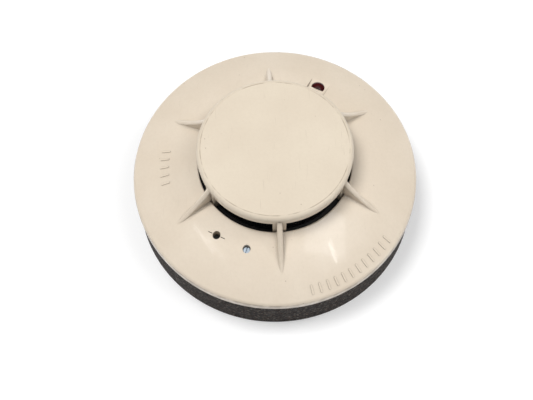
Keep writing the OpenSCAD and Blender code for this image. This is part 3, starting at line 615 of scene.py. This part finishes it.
def fin_root(angle, radius=0.9 * mm, stations=48, steps=6):
    """Fillet round one fin. Its path is the fin's outline on the flange. Its section is a quarter circle,
    hollow side out, as wide as radius but never wider than half the fin's height there; two sides below
    the surface close it. The fin's crest is an arc of radius hollow, and its half width shrinks evenly
    from root to tip."""
    depth, least_half, least_height = 0.3 * mm, 0.02 * mm, 0.05 * mm
    near_lip, near_tip = lip_r + 0.5 * mm, tip_r - 0.25 * mm
    tip_run, tip_steps = 0.9 * mm, 8
    r = np.linspace(near_lip, near_tip, stations)
    r = np.concatenate([r, near_tip + np.linspace(0, 1, tip_steps + 1)[1:] * tip_run])
    crest = hollow_z - np.sqrt(hollow ** 2 - (r - hollow_x) ** 2)
    over = np.clip(flange_z(r) - crest, 0, fin_half)
    taper = fin_half + (fin_tip_half - fin_half) * (r - fin_start_r) / taper_length
    half = np.minimum(taper, np.sqrt(fin_half ** 2 - over ** 2))
    keep = half > least_half
    r, half, crest = r[keep], half[keep], crest[keep]
    height = np.maximum(crest + fin_half - flange_z(r), least_height)
    outline = np.concatenate([np.stack([r, half], -1), np.stack([r, -half], -1)[::-1]])
    size = np.concatenate([height, height[::-1]])
    size = np.minimum(radius, size * 0.5)
    ahead = np.gradient(outline, axis=0)
    ahead /= np.linalg.norm(ahead, axis=1)[:, None]
    out = np.stack([-ahead[:, 1], ahead[:, 0]], -1)
    b = np.linspace(0, np.pi / 2, steps)
    reach = size[:, None] * (1 - np.cos(b))
    lift = size[:, None] * (1 - np.sin(b))
    flat = outline[:, None] + out[:, None] * reach[..., None]
    z = flange_z(np.linalg.norm(flat, axis=-1)) + lift
    inner = outline - out * np.minimum(depth, half.min())
    inner_z = flange_z(np.linalg.norm(outline, axis=-1))
    rows = [np.dstack([flat, z]),
            np.dstack([flat[:, -1:], z[:, -1:] - depth]),
            np.dstack([inner[:, None], inner_z[:, None] - depth]),
            np.dstack([inner[:, None], inner_z[:, None] + size[:, None]])]
    grid = np.concatenate(rows, 1)
    first, last = (end.mean(1, keepdims=True).repeat(grid.shape[1], 1) for end in (grid[:1], grid[-1:]))
    x, y, z = np.moveaxis(np.concatenate([first, grid, last]), -1, 0)
    c, s = math.cos(angle), math.sin(angle)
    turned = np.stack([x * c - y * s, x * s + y * c, z], -1)
    return turned.reshape(-1, 3), faces_of(*x.shape, False, True)


roots = [fin_root(math.radians(a)) for a in range(30, 390, 60)]
piece("fin_roots", roots, cover_finish, "head", crease=60)


# Cap -----------------------------------------------------------------------
# Flat ivory lid with a rounded edge, snapped into the ring. Its top is worn matt and scuffed in all
# directions, and a thin, broken, darker brownish line is painted where the flat top runs into the rounded
# edge.

cap_finish = ivory("ivory_cap_plastic", shade(219, 207, 188), shade(214, 201, 182),
                   wear=0.45, gloss=0.12, matt=0.42, flow=0.05 * mm, dark_line_r=39.1 * mm)
put_on(cap_finish, "chamber_cap")


# Stage ---------------------------------------------------------------------
# A white studio table in a pale surround. Most light comes from a panel overhead and a window panel
# on the right; small panels on the right and left leave the soft marks in the gloss of the flange.

scene = bpy.context.scene
scene.view_settings.view_transform = "Standard"

floor_half, floor_gap = 1.5, 0.2 * mm
floor_mesh = bpy.data.meshes.new("floor")
floor_z = cad_box[0].z - floor_gap
floor_mesh.from_pydata(
    [(-floor_half, -floor_half, floor_z), (floor_half, -floor_half, floor_z),
     (floor_half, floor_half, floor_z), (-floor_half, floor_half, floor_z)], [], [(0, 1, 2, 3)])
floor = bpy.data.objects.new("floor", floor_mesh)
scene.collection.objects.link(floor)
floor_finish, tree, shader = finish_sheet("white_table", 0.9)
wire(tree, ramp(tree, blotches(tree, 30 * mm), (0.3, 0.66), (0.7, 0.67)), shader.inputs["Base Color"])
shader.inputs["Emission Color"].default_value = (1, 1, 1, 1)
shader.inputs["Emission Strength"].default_value = 0.36
floor_mesh.materials.append(floor_finish)

world = bpy.data.worlds.new("studio")
scene.world = world
world.use_nodes = True
sky = world.node_tree
way = sky.nodes.new("ShaderNodeTexCoord")
split = sky.nodes.new("ShaderNodeSeparateXYZ")
sky.links.new(way.outputs["Generated"], split.inputs["Vector"])
glow = ramp(sky, split.outputs["Z"], (0.0, 0.06), (0.70, 0.12), (0.92, 0.6), (1.0, 0.6))
seen = sky.nodes.new("ShaderNodeLightPath").outputs["Is Camera Ray"]
wire(sky, laid_over(sky, seen, glow, (0.92, 0.92, 0.92, 1.0)), sky.nodes["Background"].inputs["Color"])
sky.nodes["Background"].inputs["Strength"].default_value = 0.95


def softbox(name, direction, distance, side, power, roll=0.0, in_gloss=True):
    """Lamp panel at a distance along a direction from the object, facing it, turned by roll about that
    direction. A panel that isn't in_gloss lights the object but doesn't mirror in it."""
    lamp = bpy.data.lights.new(name, "AREA")
    lamp.shape = "RECTANGLE"
    lamp.size, lamp.size_y = side
    lamp.energy = power
    holder = bpy.data.objects.new(name, lamp)
    scene.collection.objects.link(holder)
    away = Vector(direction).normalized()
    holder.location = aim + away * distance
    facing = away.to_track_quat("Z", "Y").to_matrix()
    holder.rotation_euler = (facing @ Matrix.Rotation(roll, 3, "Z")).to_euler()
    holder.visible_glossy = in_gloss


aim = Vector((0, 0, rim_low + rim_round))
softbox("key", (0.35, -0.15, 0.90), 1.0, (0.30, 0.30), 0.95, 0.35)
softbox("bar", (0.40, -0.27, 0.87), 1.0, (0.14, 0.025), 0.12, 0.9)
softbox("side", (0.86, -0.40, 0.32), 1.3, (0.25, 0.2), 1.3)
softbox("strip", (-0.51, -0.12, 0.85), 1.0, (0.26, 0.010), 0.08, math.radians(15))
softbox("strip_low", (-0.44, -0.20, 0.87), 1.0, (0.22, 0.010), 0.05, math.radians(15))
softbox("window", (0.70, 0.15, 0.85), 1.3, (0.25, 0.25), 3.0, in_gloss=False)
softbox("overhead", (-0.30, 0.08, 1.0), 1.3, (0.5, 0.5), 11.8, in_gloss=False)
softbox("fill", (-0.60, 0.20, 0.8), 1.3, (0.4, 0.4), 0.5, in_gloss=False)

azimuth, elevation, distance = math.radians(-3.38), math.radians(64.09), 0.5495
turned_left, turned_down = math.radians(0.477), math.radians(-1.566)
lens = bpy.data.cameras.new("camera")
lens.sensor_width, lens.lens = 36, 67.54
lens.clip_start, lens.clip_end = 0.01, 20
camera = bpy.data.objects.new("camera", lens)
scene.collection.objects.link(camera)
level = math.cos(elevation)
back = Vector((math.sin(azimuth) * level, -math.cos(azimuth) * level, math.sin(elevation)))
look = back.to_track_quat("Z", "Y").to_matrix()
look = look @ Matrix.Rotation(turned_left, 3, "Y") @ Matrix.Rotation(turned_down, 3, "X")
camera.matrix_world = Matrix.Translation(aim + back * distance) @ look.to_4x4()
scene.camera = camera
